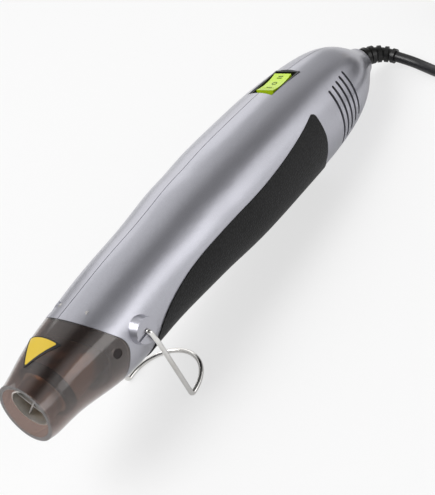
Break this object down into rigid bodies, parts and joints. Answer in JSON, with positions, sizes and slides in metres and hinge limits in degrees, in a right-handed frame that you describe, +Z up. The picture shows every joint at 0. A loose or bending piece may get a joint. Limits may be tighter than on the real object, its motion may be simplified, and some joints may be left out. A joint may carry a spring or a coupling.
{
  "type": "embossing heat tool",
  "caption": "Hand-held electric hot air tool with a smoked nose cone, side grips, a folding wire stand, a rocker switch, a ribbed strain relief and a mains lead with a plug.",
  "frame": {"origin": "middle of the tool's footprint on the surface that it stands on, without the cord", "axes": "+Z up; +X towards the tail, along the tool's length; -Y the side with the lead, with the nose pitched up towards -X"},
  "size_m": [0.3484, 0.0945, 0.0643],
  "materials": {
    "shell": "satin metallic paint on plastic",
    "cone": "smoked translucent plastic",
    "grip": "matt",
    "steel_wire": "bright",
    "black_plastic": "matt",
    "lime": "gloss",
    "brass": "bright",
    "black_rubber": "matt",
    "cord": "matt",
    "tie": "matt",
    "screws": "plated",
    "steel": "drawn",
    "mica": "mica sheet",
    "wire": "resistance wire",
    "duct": "natural moulded plastic",
    "board": "paper laminate",
    "amber": "dipped"
  },
  "bodies": {
    "tool": {"housing_left": "shell", "housing_right": "shell", "nose_cone": "cone", "grip_left": "grip", "grip_right": "grip", "switch_body": "black_plastic", "switch_terminals": "brass", "strain_relief": "black_rubber", "cord_lead": "cord", "cord_coil": "cord", "cord_tie": "tie", "plug_body": "cord", "plug_blades": "brass", "housing_screws": "screws", "outlet_tube": "steel", "heat_ring": "black_plastic", "mica_sleeve": "mica", "mica_board_a": "mica", "mica_board_b": "mica", "heating_winding": "wire", "mica_disc": "mica", "thermal_cutout": "steel", "air_duct": "duct", "motor_can": "steel", "motor_end_cap": "black_plastic", "motor_cradle": "duct", "motor_screws": "screws", "rectifier_board": "board", "diodes": "black_plastic", "capacitor": "amber", "cord_clamp": "black_plastic", "clamp_screws": "screws", "inner_cord": "cord"},
    "stand": {"stand_wire": "steel_wire"},
    "rocker": {"rocker": "lime"},
    "rotor": {"motor_shaft": "steel", "fan_impeller": "duct"}
  },
  "joints": [
    {"name": "stand_fold", "type": "hinge", "parent": "tool", "child": "stand", "pos_m": [-0.07753, 0, 0.04456], "axis": [0, 1, 0], "range_deg": [0, 97]},
    {"name": "rocker_tilt", "type": "hinge", "parent": "tool", "child": "rocker", "pos_m": [0.05863, 0, 0.04268], "axis": [0, 1, 0], "range_deg": [-9, 9]},
    {"name": "rotor_spin", "type": "hinge", "parent": "tool", "child": "rotor", "pos_m": [-0.04583, 0, 0.04189], "axis": [0.9799, 0, -0.1994], "continuous": true}
  ]
}
